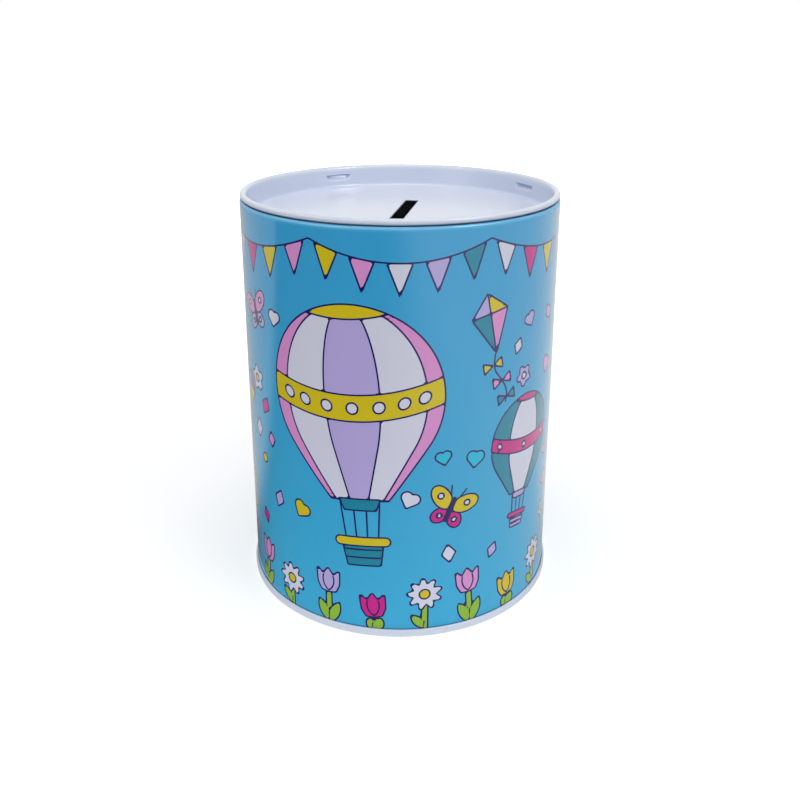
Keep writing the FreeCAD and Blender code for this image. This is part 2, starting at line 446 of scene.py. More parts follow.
def lid_piece():
    """Lid: one closed grid from the slot's lip over the panel, the leaning wall and the rim, and back below.

    Near the slot a row is the slot's outline moved outwards, on the panel a blend of that outline and a
    circle, and from the panel's edge a turned section. Dents push the leaning wall outwards, and the panel is
    crowned by a paraboloid.
    """
    roll = (RIM_HEIGHT - SHEET) / 2
    panel_edge = lid_wall(panel_height) - PANEL_BEND - PANEL_MARGIN
    lip_reach = HALF_SHEET + SLOT_BEND + PANEL_MARGIN
    lip_line, lip_normals = bent_line([
        (HALF_SHEET, panel_height + HALF_SHEET - SLOT_LIP),
        (HALF_SHEET, panel_height, SLOT_BEND),
        (lip_reach, panel_height),
    ], LID_PITCH)
    ledge = [(lid_wall(ledge_height + shift), ledge_height + shift) for shift in (-LEDGE_EASE, LEDGE_EASE)]
    dish_line, dish_normals = bent_line([
        (panel_edge, panel_height),
        (lid_wall(panel_height), panel_height, PANEL_BEND),
        *ledge,
        (lid_wall(rim_top), rim_top, RIM_INNER_BEND),
        (rim_radius, rim_top, roll),
        (rim_radius, rim_bottom, roll),
        (rim_radius - roll - RIM_RETURN, rim_bottom),
    ], LID_PITCH)
    bearings = DENT_BEARING + FULL_TURN / DENT_COUNT * np.arange(DENT_COUNT)
    angles = columns(LID_COLUMNS, bearings, DENT_SPREAD / lid_wall_at_ledge, DENT_CROWDING)
    place, facing = slot_ring(angles / FULL_TURN)
    circle = panel_edge * np.stack([np.cos(angles), np.sin(angles)], -1)
    blend = smooth_step(np.linspace(0, 1, PANEL_ROWS + 2)[1:-1], -PANEL_EASE, 1 + PANEL_EASE)
    blend = (blend - blend[0]) / (blend[-1] - blend[0])
    blend = (blend * (1 - 2 * PANEL_STEP) + PANEL_STEP)[:, None, None]

    def face(side):
        """Rows of one face of the sheet, from the slot outwards: side is 1 above and -1 below."""
        lip = lip_line + lip_normals * side * HALF_SHEET
        dish = dish_line + dish_normals * side * HALF_SHEET
        near = np.concatenate([
            place + facing * lip[:, 0, None, None],
            (place + facing * lip_reach) * (1 - blend) + circle * blend,
        ])
        heights = np.concatenate([lip[:, 1], np.full(len(blend), lip[-1, 1])])
        crown = PANEL_CROWN * (1 - (near ** 2).sum(-1) / panel_edge ** 2)
        near = np.concatenate([near, (heights[:, None] + crown)[..., None]], -1)
        far = turned(dish, angles)
        push = dent_push(angles, dish_line[:, 1, None])
        push = push * ((dish_line[:, 0] < lid_wall(rim_top))[:, None])
        far[..., :2] *= (1 + push / dish[:, 0, None])[..., None]
        pushed = np.concatenate([np.zeros(near.shape[:2]), push])
        return np.concatenate([near, far]), pushed

    (below, below_push), (above, above_push) = face(-1), face(1)
    points = np.concatenate([below, above[::-1]])
    radius, height = np.hypot(points[..., 0], points[..., 1]), points[..., 2]
    coated = np.zeros(height.shape)
    coated[len(below):] = 1
    rim_rub = bell(radius - rim_radius - RIM_RUB_OUT, RIM_RUB) * (height > rim_bottom)
    slot_rub = np.zeros(height.shape)
    slot_rub[-len(lip_line):] = bell(lip_line[::-1, :1] - HALF_SHEET, SLOT_RUB)
    pushed = np.concatenate([below_push, above_push[::-1]]) / DENT_DEPTH
    # Painted shade in the enamel's colour: under each dent's ledge, under the rim's roll, on the lid's inner
    # wall and in the panel's bend
    under_ledge = 1 - smooth_step(ledge_height - height, LEDGE_REACH / 2, LEDGE_REACH)
    dent_shade = DENT_SHADE * smooth_step(pushed, DENT_SHALLOW, DENT_DEEP) * under_ledge
    on_rim = radius > lid_wall(rim_top)
    rim_shade = RIM_SHADE * on_rim * (1 - smooth_step(height, rim_bottom, rim_bottom + roll))
    drawn = smooth_step(height, panel_height, panel_height + WALL_REACH)
    drawn = drawn * (1 - smooth_step(height, rim_top - 2 * RIM_INNER_BEND, rim_top - RIM_INNER_BEND))
    wall_shade = WALL_SHADE * drawn * ~on_rim
    bend = np.hypot(radius - lid_wall(panel_height), height - panel_height)
    bend_shade = BEND_SHADE * bell(bend, PANEL_BEND)
    painted_shade = np.maximum.reduce([dent_shade, rim_shade, wall_shade, bend_shade])
    fields = {"coated": coated, "rub": np.maximum(rim_rub, slot_rub), "painted_shade": painted_shade}
    return grid_mesh("enamel_lid", points, None, fields)


# Print

INK_COLOURS = {
    "white": (216, 218, 237),
    "pink": (222, 148, 211),
    "lilac": (184, 171, 227),
    "yellow": (217, 196, 0),
    "teal": (0, 136, 164),
    "magenta": (208, 8, 140),
    "green": (146, 192, 48),
    "cyan": (0, 190, 228),
    "navy": (14, 8, 96),
}
INKS = tuple(INK_COLOURS)
INK_FIELDS = ("inks_a", "inks_b", "inks_c")  # attributes that hold three inks each, in that order
FAR = 99.0  # mm, where no ink is near
STEM_HALF = 1.0
STEM_FOOT = -2.0
DAISY_RADIUS = 4.6
SCATTER_LOW = 8.0  # mm above the seam, where the small motifs start
SCATTER_SPAN = 92.0
JITTER = 0.28  # shares of the grid's pitch

# Places right of the front and above the seam, and radii or sizes, in mm. Tilts are in radians, to the left.
BALLOONS = (
    (-14, 76, 27, 0.06, ("pink", "white", "lilac", "white", "pink"), "yellow", "teal"),
    (43, 56, 14.5, -0.1, ("teal", "white", "teal"), "magenta", "lilac"),
    (106, 74, 23, -0.05, ("yellow", "white", "pink", "white", "yellow"), "teal", "magenta"),
    (-92, 62, 17, 0.08, ("lilac", "white", "lilac"), "pink", "yellow"),
    (-133, 84, 14, -0.06, ("magenta", "white", "magenta"), "yellow", "teal"),
)
KITES = (
    (27, 97, 8, 0.2, ("yellow", "pink", "teal", "lilac")),
    (-62, 66, 7, -0.3, ("magenta", "yellow", "white", "cyan")),
    (73, 92, 7.5, 0.12, ("lilac", "white", "magenta", "yellow")),
    (140, 62, 7, -0.25, ("teal", "yellow", "pink", "white")),
)
BUTTERFLIES = (
    (-52, 94, 8, 0.3, "pink", "lilac", "white"),
    (15, 40, 8.5, -0.4, "yellow", "magenta", "white"),
    (64, 34, 7, 0.35, "lilac", "pink", "yellow"),
    (-118, 40, 8, -0.3, "white", "cyan", "magenta"),
    (128, 30, 7.5, 0.25, "pink", "yellow", "white"),
)
FLAGS = ("yellow", "pink", "white", "lilac", "teal", "white", "magenta")

girth = FULL_TURN * printed_radius / MM  # mm round the wall


def disc(x, y, radius):
    """Distance from a circle: from its centre, less the radius."""
    return np.hypot(x, y) - radius


def oval(x, y, half_width, half_height):
    """Distance from an ellipse, to first order: its implicit function over the length of its slope."""
    level = np.hypot(x / half_width, y / half_height)
    slope = np.hypot(x / half_width ** 2, y / half_height ** 2)
    return level * (level - 1) / np.maximum(slope, ROUNDING)


def rod(x, y, end, radius):
    """Distance from a round-ended bar that runs from the origin to an end."""
    share = np.clip((x * end[0] + y * end[1]) / (end[0] ** 2 + end[1] ** 2), 0, 1)
    return np.hypot(x - share * end[0], y - share * end[1]) - radius


def polygon(x, y, corners):
    """Distance from a polygon: its nearest edge's, negative where a line to the right meets an odd count."""
    nearest, inside = np.full(x.shape, FAR), np.zeros(x.shape, bool)
    for (start_x, start_y), (end_x, end_y) in zip(corners, corners[1:] + corners[:1]):
        run_x, run_y = end_x - start_x, end_y - start_y
        off_x, off_y = x - start_x, y - start_y
        share = np.clip((off_x * run_x + off_y * run_y) / (run_x ** 2 + run_y ** 2), 0, 1)
        nearest = np.minimum(nearest, np.hypot(off_x - share * run_x, off_y - share * run_y))
        if run_y:
            inside ^= ((start_y > y) != (end_y > y)) & (off_x < off_y * run_x / run_y)
    return np.where(inside, -nearest, nearest)


def heart(x, y, size):
    """Distance from a heart: two round lobes above, and straight sides that meet in a point at the origin."""
    x, y = abs(x) / size, y / size
    lobe = np.hypot(x - 0.25, y - 0.75) - math.sqrt(2) / 4
    along = np.maximum(x + y, 0) / 2
    side = np.minimum(np.hypot(x, y - 1), np.hypot(x - along, y - along)) * np.sign(x - y)
    return np.where(x + y > 1, lobe, side) * size


def blossom(x, y, radius, petals, depth):
    """Distance from a flower: a circle whose radius swells and shrinks once a petal."""
    angle = np.arctan2(y, x) * petals
    edge = radius * (1 + depth * np.cos(angle))
    slope = radius * depth * petals * np.sin(angle) / np.maximum(edge, ROUNDING)
    return (np.hypot(x, y) - edge) / np.hypot(1, slope)


def leaf(x, y, length, half_width):
    """Distance from a pointed leaf that stands on the origin: the overlap of two circles."""
    y = y - length / 2
    radius = (length ** 2 / 4 + half_width ** 2) / (2 * half_width)
    return np.hypot(abs(x) + radius - half_width, y) - radius


class Plate:
    """What is printed on the wall: distances in mm from each ink's edge, negative where the ink lies.

    The pen is a signed distance across thin lines, drawn where it is near zero within the pen's field.
    """

    def __init__(self, across, up):
        self.across, self.up = across, up
        self.inks = {ink: np.full(across.shape, FAR) for ink in INKS}
        self.pen, self.pen_field = np.full(across.shape, FAR), np.full(across.shape, FAR)

    def about(self, right, above, tilt=0):
        """Coordinates to the right of a place and above it, turned left by a tilt."""
        x = (self.across - right + girth / 2) % girth - girth / 2
        y = self.up - above
        return x * math.cos(tilt) + y * math.sin(tilt), y * math.cos(tilt) - x * math.sin(tilt)

    def lay(self, ink, shape):
        """Print a shape on top: it is cut from every field, and then joined to its own ink's."""
        for field in (*self.inks.values(), self.pen_field):
            np.maximum(field, -shape, out=field)
        np.minimum(self.inks[ink], shape, out=self.inks[ink])

    def draw(self, line, field):
        """Draw thin lines where a signed distance crosses zero, within a field."""
        inside = field < np.minimum(self.pen_field, 1)
        self.pen = np.where(inside, line, self.pen)
        np.minimum(self.pen_field, field, out=self.pen_field)

    def room(self, right, above):
        """Distance in mm from a place to the nearest ink or line."""
        x, y = self.about(right, above)
        spot = np.unravel_index(np.argmin(x * x + y * y), x.shape)
        return min(field[spot] for field in (*self.inks.values(), self.pen_field))


def print_balloon(plate, right, above, radius, tilt, gores, band, basket):
    """Hot-air balloon: a round top on a cone, cut into gores, with a cap, a skirt, ropes and a basket.

    A gore ends where the sine of its turn, times the half width at that height, is the distance from the
    middle. The band and the cap's edge are parabolas across the balloon.
    """
    x, y = plate.about(right, above, tilt)
    drop, neck = 1.22 * radius, 0.26 * radius
    lean = (radius - neck) / drop
    upright = math.sqrt(1 - lean ** 2)
    round_part = y * upright + abs(x) * lean > 0
    shell = np.where(round_part, np.hypot(x, y) - radius, upright * abs(x) - lean * y - radius)
    shell = np.maximum(shell, -drop - y)
    crown = np.sqrt(np.maximum(radius ** 2 - y ** 2, ROUNDING))
    on_crown = y > -radius * lean
    half_width = np.where(on_crown, crown, (radius + lean * y) / upright)
    flare = np.where(on_crown, -y / crown, lean / upright)

    floor = -drop - 0.86 * radius
    lip = floor + 0.36 * radius
    rope_gap = 0.15 * radius
    spread = np.interp(y, [lip, -drop], [0.8, 1.0])
    ropes = rope_gap * spread / math.pi * np.sin(math.pi * (x / (rope_gap * spread) - 0.5))
    within = np.maximum(abs(x) - 1.7 * rope_gap * spread, np.maximum(y + drop, lip - y))
    plate.draw(ropes, within)
    weave = 0.1 * radius
    corners = [(-0.24, 0.0), (-0.19, -0.3), (0.19, -0.3), (0.24, 0.0)]
    hull = polygon(x, y, [(a * radius, lip + b * radius) for a, b in corners])
    plate.lay(basket, hull)
    plate.draw(weave / math.pi * np.sin(math.pi * (y - lip) / weave), np.maximum(hull + 0.3, y - lip + 0.5))
    plate.lay(band, rod(x + 0.26 * radius, y - lip, (0.52 * radius, 0), 0.055 * radius))

    turns = np.linspace(-math.pi / 2, math.pi / 2, len(gores) + 1)
    for ink, left, end in zip(gores, turns, turns[1:]):
        past_left = (half_width * math.sin(left) - x) / np.hypot(1, flare * math.sin(left))
        past_end = (x - half_width * math.sin(end)) / np.hypot(1, flare * math.sin(end))
        plate.lay(ink, np.maximum(shell, np.maximum(past_left, past_end)))
    middle = y + 0.14 * radius - 0.16 * radius * (x / radius) ** 2
    plate.lay(band, np.maximum(shell, abs(middle) - 0.15 * radius))
    for turn in np.linspace(-0.9, 0.9, 2 * len(gores) - 3):
        plate.lay("white", disc(x - half_width * math.sin(turn), middle, 0.065 * radius))
    cap = 0.84 * radius + 0.24 * radius * (x / radius) ** 2
    plate.lay(band, np.maximum(shell, cap - y))
    skirt = [(-0.9, 0.08), (-0.7, -0.45), (0.7, -0.45), (0.9, 0.08)]
    plate.lay(basket, polygon(x, y, [(a * neck, b * neck - drop) for a, b in skirt]))


def print_kite(plate, right, above, size, tilt, inks):
    """Kite: four triangles about a cross, and a tail on a sine wave with bows along it."""
    x, y = plate.about(right, above, tilt)
    tail_end, swing, quickness = -3.4 * size, 0.22 * size, 2.4 / size
    wave = swing * np.sin((y + size) * quickness) * np.clip(-(y + size) / size, 0, 1)
    slope = np.hypot(1, 0.5)
    below = np.maximum(y + 1.3 * size, tail_end - y)
    plate.draw((x - wave) / slope, np.maximum(abs(x - wave) - 1.2, below))
    bow_width, bow_height = 0.42 * size, 0.22 * size
    for number, ink in enumerate(inks[:3]):
        low = -(1.75 + 0.72 * number) * size
        bow_x, bow_y = x - swing * math.sin((low + size) * quickness), y - low
        for side in (-1, 1):
            corners = [(0.0, 0.0), (bow_width * side, bow_height), (bow_width * side, -bow_height)]
            plate.lay(ink, polygon(bow_x, bow_y, corners))
    cross, half_width = 0.22 * size, 0.78 * size
    tips = [(0.0, size), (half_width, cross), (0.0, -1.35 * size), (-half_width, cross)]
    for ink, start, end in zip(inks, tips, tips[1:] + tips[:1]):
        plate.lay(ink, polygon(x, y, [(0.0, cross), start, end]))


def print_butterfly(plate, right, above, size, tilt, upper, lower, spot):
    """Butterfly: two large and two small oval wings with spots, a rod for the body and two feelers."""
    x, y = plate.about(right, above, tilt)
    feeler = abs(x) - 0.12 * size - 0.35 * (y - 0.35 * size)
    plate.draw(feeler / np.hypot(1, 0.35), np.maximum(abs(feeler) - 1, abs(y - 0.62 * size) - 0.26 * size))
    for side in (-1, 1):
        for ink, lean, length, width in ((lower, -0.85, 0.36, 0.27), (upper, 0.62, 0.52, 0.32)):
            along = x * side * math.cos(lean) + y * math.sin(lean)
            away = y * math.cos(lean) - x * side * math.sin(lean)
            plate.lay(ink, oval(along - (length + 0.06) * size, away, length * size, width * size))
            plate.lay(spot, disc(along - 1.25 * length * size, away, 0.36 * width * size))
    plate.lay("navy", rod(x, y + 0.42 * size, (0, 0.8 * size), 0.075 * size))


def print_stalk(plate, x, y, height, leaves):
    """Green stem with pointed leaves, each given by its turn, its root's height, length and half width."""
    plate.lay("green", np.maximum(abs(x) - STEM_HALF, np.maximum(y - height, STEM_FOOT - y)))
    for turn, root, length, half_width in leaves:
        leaf_x = x * math.cos(turn) - (y - root) * math.sin(turn)
        leaf_y = (y - root) * math.cos(turn) + x * math.sin(turn)
        plate.lay("green", leaf(leaf_x, leaf_y, length, half_width))


def print_tulip(plate, right, height, ink, lean):
    """Tulip: a stem on a lean, two leaves, and a cup with three points and a middle petal."""
    x, y = plate.about(right, 0, lean)
    print_stalk(plate, x, y, height, [(0.42 * side, -1, 0.62 * height + 2, 1.7) for side in (-1, 1)])
    half = [(0.0, -0.4), (2.2, -0.1), (3.3, 2.2), (3.5, 6.4), (1.7, 4.4), (0.0, 7.0)]
    outline = half + [(-a, b) for a, b in half[-2:0:-1]]
    cup = polygon(x, y - height, outline) - 0.5
    plate.lay(ink, cup)
    plate.draw(leaf(x, y - height + 0.4, 7.6, 1.9), np.maximum(cup + 0.2, y - height - 5))


def print_daisy(plate, right, height):
    """Daisy: a stem with one leaf, and a flower of many petals with a round middle."""
    x, y = plate.about(right, 0)
    print_stalk(plate, x, y, height, [(-0.7, 0, 6.5, 1.4)])
    x, y = plate.about(right, height + 2, 0.3)
    plate.lay("white", blossom(x, y, DAISY_RADIUS, 9, 0.2))
    plate.lay("yellow", disc(x, y, 0.36 * DAISY_RADIUS))


def print_garden(plate, blooms):
    """Row of flowers along the foot, every third one a daisy, with heights on two waves."""
    for number in range(blooms):
        right = (number + 0.5) * girth / blooms
        height = 8.5 + 3.0 * math.sin(number * 2.4) + 1.5 * math.cos(number * 1.1)
        if number % 3:
            ink = ("magenta", "pink", "yellow", "lilac")[number % 4]
            print_tulip(plate, right, height, ink, 0.1 * math.sin(number))
        else:
            print_daisy(plate, right, height)


def print_bunting(plate, swags, height, sag, flags, inks):
    """Bunting all round: a string in equal parabolas, with pointed flags hung on it."""
    pitch = girth / swags
    share = ((plate.across / pitch + 0.5) % 1 - 0.5) * 2
    string = plate.up - height + sag * (1 - share ** 2)
    plate.draw(string / np.hypot(1, 4 * sag * share / pitch), abs(string) - 2)
    half_width = 0.34 * pitch / flags
    length = 2.6 * half_width
    for number in range(swags * flags):
        place = ((number % flags + 0.5) / flags - 0.5) * 2
        x, y = plate.about((number // flags + place / 2) * pitch, height - sag * (1 - place ** 2))
        slope = 4 * sag * place / pitch
        corners = [(-half_width, -half_width * slope), (0.0, -length), (half_width, half_width * slope)]
        plate.lay(inks[number % len(inks)], polygon(x, y, corners))


def print_mote(plate, x, y, size, kind, ink):
    """One small motif: a heart, a dot, a flower with a middle, a diamond or a smaller heart."""
    if kind == 0:
        plate.lay(ink, heart(x, y + 2.3 * size, 4.7 * size))
    elif kind == 1:
        plate.lay(ink, disc(x, y, 1.7 * size))
    elif kind == 2:
        plate.lay(ink, blossom(x, y, 3.0 * size, 5, 0.2))
        plate.lay("yellow" if ink == "white" else "white", disc(x, y, 1.1 * size))
    elif kind == 3:
        tall, wide = 3.0 * size, 2.1 * size
        plate.lay(ink, polygon(x, y, [(0.0, tall), (wide, 0.0), (0.0, -tall), (-wide, 0.0)]))
    else:
        plate.lay(ink, heart(x, y + 1.9 * size, 3.9 * size))


def print_scatter(plate, seed, pitch, clearance):
    """Small motifs on a jittered grid, wherever there is room."""
    chance = np.random.default_rng(seed)
    inks = ("yellow", "magenta", "lilac", "pink", "white", "green", "cyan")
    count_across, count_up = round(girth / pitch), round(SCATTER_SPAN / pitch)
    for row in range(count_up):
        for column in range(count_across):
            across_share = column + 0.5 * (row % 2) + chance.uniform(-JITTER, JITTER)
            up_share = row + 0.5 + chance.uniform(-JITTER, JITTER)
            kind = chance.integers(5)
            ink = inks[chance.integers(len(inks))]
            size = chance.uniform(0.85, 1.2)
            tilt = chance.uniform(-0.5, 0.5)
            right = across_share * girth / count_across
            above = SCATTER_LOW + up_share * SCATTER_SPAN / count_up
            if plate.room(right, above) >= clearance:
                print_mote(plate, *plate.about(right, above, tilt), size, kind, ink)


def litho_print(across, up, seam_turn):
    """Fields of the whole print, packed three to an attribute."""
    plate = Plate(across, up)
    print_bunting(plate, swags=6, height=120.5, sag=5.5, flags=5, inks=FLAGS)
    for balloon in BALLOONS:
        print_balloon(plate, *balloon)
    for kite in KITES:
        print_kite(plate, *kite)
    for butterfly in BUTTERFLIES:
        print_butterfly(plate, *butterfly)
    print_garden(plate, blooms=21)
    print_scatter(plate, seed=7, pitch=10.8, clearance=5.0)
    seam_x = plate.about(seam_turn * printed_radius / MM, 0)[0]
    fields = [plate.inks[ink] for ink in INKS] + [plate.pen, plate.pen_field, abs(seam_x)]
    names = (*INK_FIELDS, "pen")
    return {name: np.stack(fields[3 * part:3 * part + 3], -1) for part, name in enumerate(names)}


# Shader nodes

def colour(red, green, blue):
    """Scene colour of a printed or painted tone, from its 0 to 255 sRGB values."""
    tone = np.array([red, green, blue]) / 255
    linear = np.where(tone <= 0.04045, tone / 12.92, ((tone + 0.055) / 1.055) ** 2.4)
    return (*linear, 1)


def add(tree, kind, inputs=None, **settings):
    """Add a node: settings are its properties, inputs its values or the sockets that feed them."""
    made = tree.nodes.new(kind)
    for key, value in settings.items():
        setattr(made, key, value)
    for key, value in (inputs or {}).items():
        if isinstance(value, bpy.types.NodeSocket):
            tree.links.new(value, made.inputs[key])
        else:
            made.inputs[key].default_value = value
    return made


def maths(tree, operation, *values):
    """Output of a Math node."""
    return add(tree, "ShaderNodeMath", dict(enumerate(values)), operation=operation).outputs[0]


def ramp(tree, value, low, high, start=0.0, end=1.0):
    """Output of a smooth Map Range, from start at low to end at high."""
    spans = {"From Min": low, "From Max": high, "To Min": start, "To Max": end}
    if low > high:
        spans = {"From Min": high, "From Max": low, "To Min": end, "To Max": start}
    made = add(tree, "ShaderNodeMapRange", {"Value": value, **spans}, interpolation_type="SMOOTHSTEP")
    return made.outputs[0]


def blend_colour(tree, share, first, second):
    """Output of a colour Mix."""
    inputs = {"Factor": share, 6: first, 7: second}
    return add(tree, "ShaderNodeMix", inputs, data_type="RGBA").outputs[2]


def blend_value(tree, share, first, second):
    """Output of a Mix of numbers."""
    return add(tree, "ShaderNodeMix", {"Factor": share, 2: first, 3: second}).outputs[0]


def noise(tree, place, scale, detail=2.0):
    """Value of a Noise Texture."""
    return add(tree, "ShaderNodeTexNoise", {"Vector": place, "Scale": scale, "Detail": detail}).outputs["Fac"]


def stretched(tree, place, scale):
    """Coordinates multiplied by a scale along each axis."""
    return add(tree, "ShaderNodeMapping", {"Vector": place, "Scale": scale}).outputs[0]


def held(tree, name):
    """Outputs of a piece's own field."""
    return add(tree, "ShaderNodeAttribute", attribute_name=name).outputs


def split(tree, vector):
    """The three numbers of a vector."""
    return add(tree, "ShaderNodeSeparateXYZ", {0: vector}).outputs


def covered(tree, distance, edge=0.0):
    """1 where a distance in mm is less than an edge's, and 0 where it is more."""
    return ramp(tree, distance, edge + INK_SOFTNESS, edge - INK_SOFTNESS)


def blank_tree(owner):
    """Emptied node tree of a material or a world."""
    owner.use_nodes = True
    owner.node_tree.nodes.clear()
    return owner.node_tree


def grouped(tree, group, **inputs):
    """Outputs of a node group with some inputs."""
    return add(tree, "ShaderNodeGroup", inputs, node_tree=group).outputs


def new_group(name, inputs, outputs):
    """Node group with named sockets: its tree, and the sockets that its inputs give."""
    tree = bpy.data.node_groups.new(name, "ShaderNodeTree")
    for direction, sockets in (("INPUT", inputs), ("OUTPUT", outputs)):
        for socket, kind in sockets.items():
            tree.interface.new_socket(name=socket, in_out=direction, socket_type=f"NodeSocket{kind}")
    return tree, add(tree, "NodeGroupInput").outputs


def tone_drift_group():
    """Slow change of lightness over a coat: noise about 1 times the colour's value."""
    inputs = {"Place": "Vector", "Color": "Color", "Scale": "Float", "Amount": "Float"}
    tree, given = new_group("tone_drift", inputs, {"Color": "Color"})
    drift = maths(tree, "SUBTRACT", noise(tree, given["Place"], given["Scale"], detail=4.0), 0.5)
    value = maths(tree, "MULTIPLY_ADD", drift, given["Amount"], 1.0)
    drifted = add(tree, "ShaderNodeHueSaturation", {"Color": given["Color"], "Value": value})
    add(tree, "NodeGroupOutput", {"Color": drifted.outputs[0]})
    return tree


def gloss_skin_group():
    """Skin of a stoved coat: fine peel and slow waves as height, and haze as roughness."""
    inputs = {"Place": "Vector", "Roughness": "Float", "Haze": "Float"}
    tree, given = new_group("gloss_skin", inputs, {"Roughness": "Float", "Height": "Float"})
    peel = noise(tree, given["Place"], scale=700.0, detail=1.0)
    wave = noise(tree, given["Place"], scale=70.0, detail=1.0)
    haze = maths(tree, "SUBTRACT", noise(tree, given["Place"], scale=45.0), 0.5)
    rough = maths(tree, "MULTIPLY_ADD", haze, given["Haze"], given["Roughness"])
    height = maths(tree, "MULTIPLY_ADD", wave, WAVE_HEIGHT, peel)
    add(tree, "NodeGroupOutput", {"Roughness": rough, "Height": height})
    return tree


def edge_rub_group():
    """Where a coat is worn through to the tin: the piece's rub field broken up by noise."""
    inputs = {"Place": "Vector", "Rub": "Float", "Amount": "Float"}
    tree, given = new_group("edge_rub", inputs, {"Worn": "Float"})
    speck = noise(tree, given["Place"], scale=520.0, detail=4.0)
    patch = noise(tree, given["Place"], scale=38.0)
    worn = maths(tree, "MULTIPLY", maths(tree, "MULTIPLY", speck, patch), given["Rub"])
    worn = maths(tree, "ADD", worn, maths(tree, "SUBTRACT", given["Amount"], 1.0))
    add(tree, "NodeGroupOutput", {"Worn": ramp(tree, worn, 0.0, RUB_SOFTNESS)})
    return tree


def bare_tin_group():
    """Bare tinplate: satin pale grey with faint clouds, and rolling lines along the sheet."""
    outputs = {"Color": "Color", "Roughness": "Float", "Height": "Float"}
    tree, given = new_group("bare_tin", {"Place": "Vector"}, outputs)
    cloud = noise(tree, given["Place"], scale=60.0, detail=3.0)
    lines = noise(tree, stretched(tree, given["Place"], ROLLING_SCALE), scale=1.0, detail=3.0)
    tone = maths(tree, "MULTIPLY_ADD", cloud, 0.5, maths(tree, "MULTIPLY", lines, 0.5))
    tint = blend_colour(tree, tone, DULL_TIN, BRIGHT_TIN)
    rough = maths(tree, "MULTIPLY_ADD", cloud, TIN_HAZE, TIN_ROUGHNESS)
    add(tree, "NodeGroupOutput", {"Color": tint, "Roughness": rough, "Height": lines})
    return tree


def coated_tin(name, paint, roughness, haze, rub_amount, peel, varnish):
    """Material of a coated sheet: paint on its coated face, bare tin behind it and where it is rubbed off.

    The paint is a function that gets the tree and the coordinates and gives the coat's colour. The varnish is
    the share of a clear layer over the paint.
    """
    material = bpy.data.materials.new(name)
    tree = blank_tree(material)
    place = add(tree, "ShaderNodeTexCoord").outputs["Object"]
    rub = held(tree, "rub")["Fac"]
    skin = grouped(tree, GLOSS_SKIN, Place=place, Roughness=roughness, Haze=haze)
    worn = grouped(tree, EDGE_RUB, Place=place, Rub=rub, Amount=rub_amount)["Worn"]
    tin = grouped(tree, BARE_TIN, Place=place)
    coated = ramp(tree, held(tree, "coated")["Fac"], *COAT_EDGE)
    coat = maths(tree, "MULTIPLY", coated, maths(tree, "SUBTRACT", 1.0, worn))
    bare = maths(tree, "SUBTRACT", 1.0, coat)
    dulled = maths(tree, "MULTIPLY_ADD", rub, RUB_DULLING, skin["Roughness"])
    varnished = maths(tree, "MULTIPLY", coat, varnish)
    height = blend_value(tree, bare, skin["Height"], tin["Height"])
    bump = add(tree, "ShaderNodeBump", {"Strength": 1.0, "Distance": peel, "Height": height})
    shader = add(tree, "ShaderNodeBsdfPrincipled", {
        "Base Color": blend_colour(tree, bare, paint(tree, place), tin["Color"]),
        "Roughness": blend_value(tree, bare, dulled, tin["Roughness"]),
        "Metallic": maths(tree, "MULTIPLY", bare, TIN_METALLIC),
        "Normal": bump.outputs[0],
        "Coat Weight": maths(tree, "MULTIPLY", varnished, maths(tree, "SUBTRACT", 1.0, rub)),
        "Coat Roughness": VARNISH_ROUGHNESS,
    })
    add(tree, "ShaderNodeOutputMaterial", {"Surface": shader.outputs[0]})
    return material


def toned(tree, place, tint, scale, amount):
    """A coat's colour with its slow drift of tone."""
    return grouped(tree, TONE_DRIFT, Place=place, Color=tint, Scale=scale, Amount=amount)["Color"]


def litho_paint(tree, place):
    """The print: each ink where its field is below zero, and navy lines along every edge and along the pen.

    A bare margin lies along the side seam. A painted highlight lightens the round shoulder. Painted shade
    darkens the creases below the lid's rim and above the base's seam.
    """
    height = split(tree, place)["Z"]
    # The ground grows lighter towards the foot: partly the print's own tone, and partly painted light as
    # thrown up from the floor
    ground = blend_colour(tree, ramp(tree, height, 0.0, rim_top), GROUND_LOW, GROUND_HIGH)
    tint = toned(tree, place, ground, scale=30.0, amount=0.05)
    edges = FAR
    for number, name in enumerate(INK_FIELDS):
        fields = split(tree, held(tree, name)["Vector"])
        for ink, field in zip(INKS[3 * number:], fields):
            edges = maths(tree, "MINIMUM", edges, maths(tree, "ABSOLUTE", field))
            tint = blend_colour(tree, covered(tree, field), tint, colour(*INK_COLOURS[ink]))
    pen, pen_field, from_seam = split(tree, held(tree, "pen")["Vector"])
    drawn = covered(tree, maths(tree, "ABSOLUTE", pen), PEN_LINE)
    drawn = maths(tree, "MULTIPLY", drawn, covered(tree, pen_field))
    lines = maths(tree, "MAXIMUM", covered(tree, edges, OUTLINE), drawn)
    tint = blend_colour(tree, lines, tint, colour(*INK_COLOURS["navy"]))
    tint = blend_colour(tree, covered(tree, from_seam, SEAM_MARGIN), tint, colour(*INK_COLOURS["white"]))
    # Painted highlight along the round shoulder, strongest at its top
    highlight_low = wall_high.z - SHOULDER_HIGHLIGHT_REACH
    shoulder_highlight = ramp(tree, height, highlight_low, highlight_low + SHOULDER_HIGHLIGHT_REACH * 2 / 3, 0.0, SHOULDER_HIGHLIGHT_SHARE)
    tint = blend_colour(tree, shoulder_highlight, tint, SHOULDER_HIGHLIGHT)
    # Painted shade in the crease under the lid's rim and in the crease above the base's seam
    shade_under_rim = ramp(tree, height, wall_high.z - RIM_CREASE, wall_high.z - RIM_CREASE / 2, 0.0, RIM_CREASE_SHADE)
    shade_above_seam = ramp(tree, height, SEAM_HEIGHT + FOOT_CREASE, SEAM_HEIGHT, 0.0, FOOT_CREASE_SHADE)
    return blend_colour(tree, maths(tree, "MAXIMUM", shade_under_rim, shade_above_seam), tint, CREASE_SHADE_COLOUR)


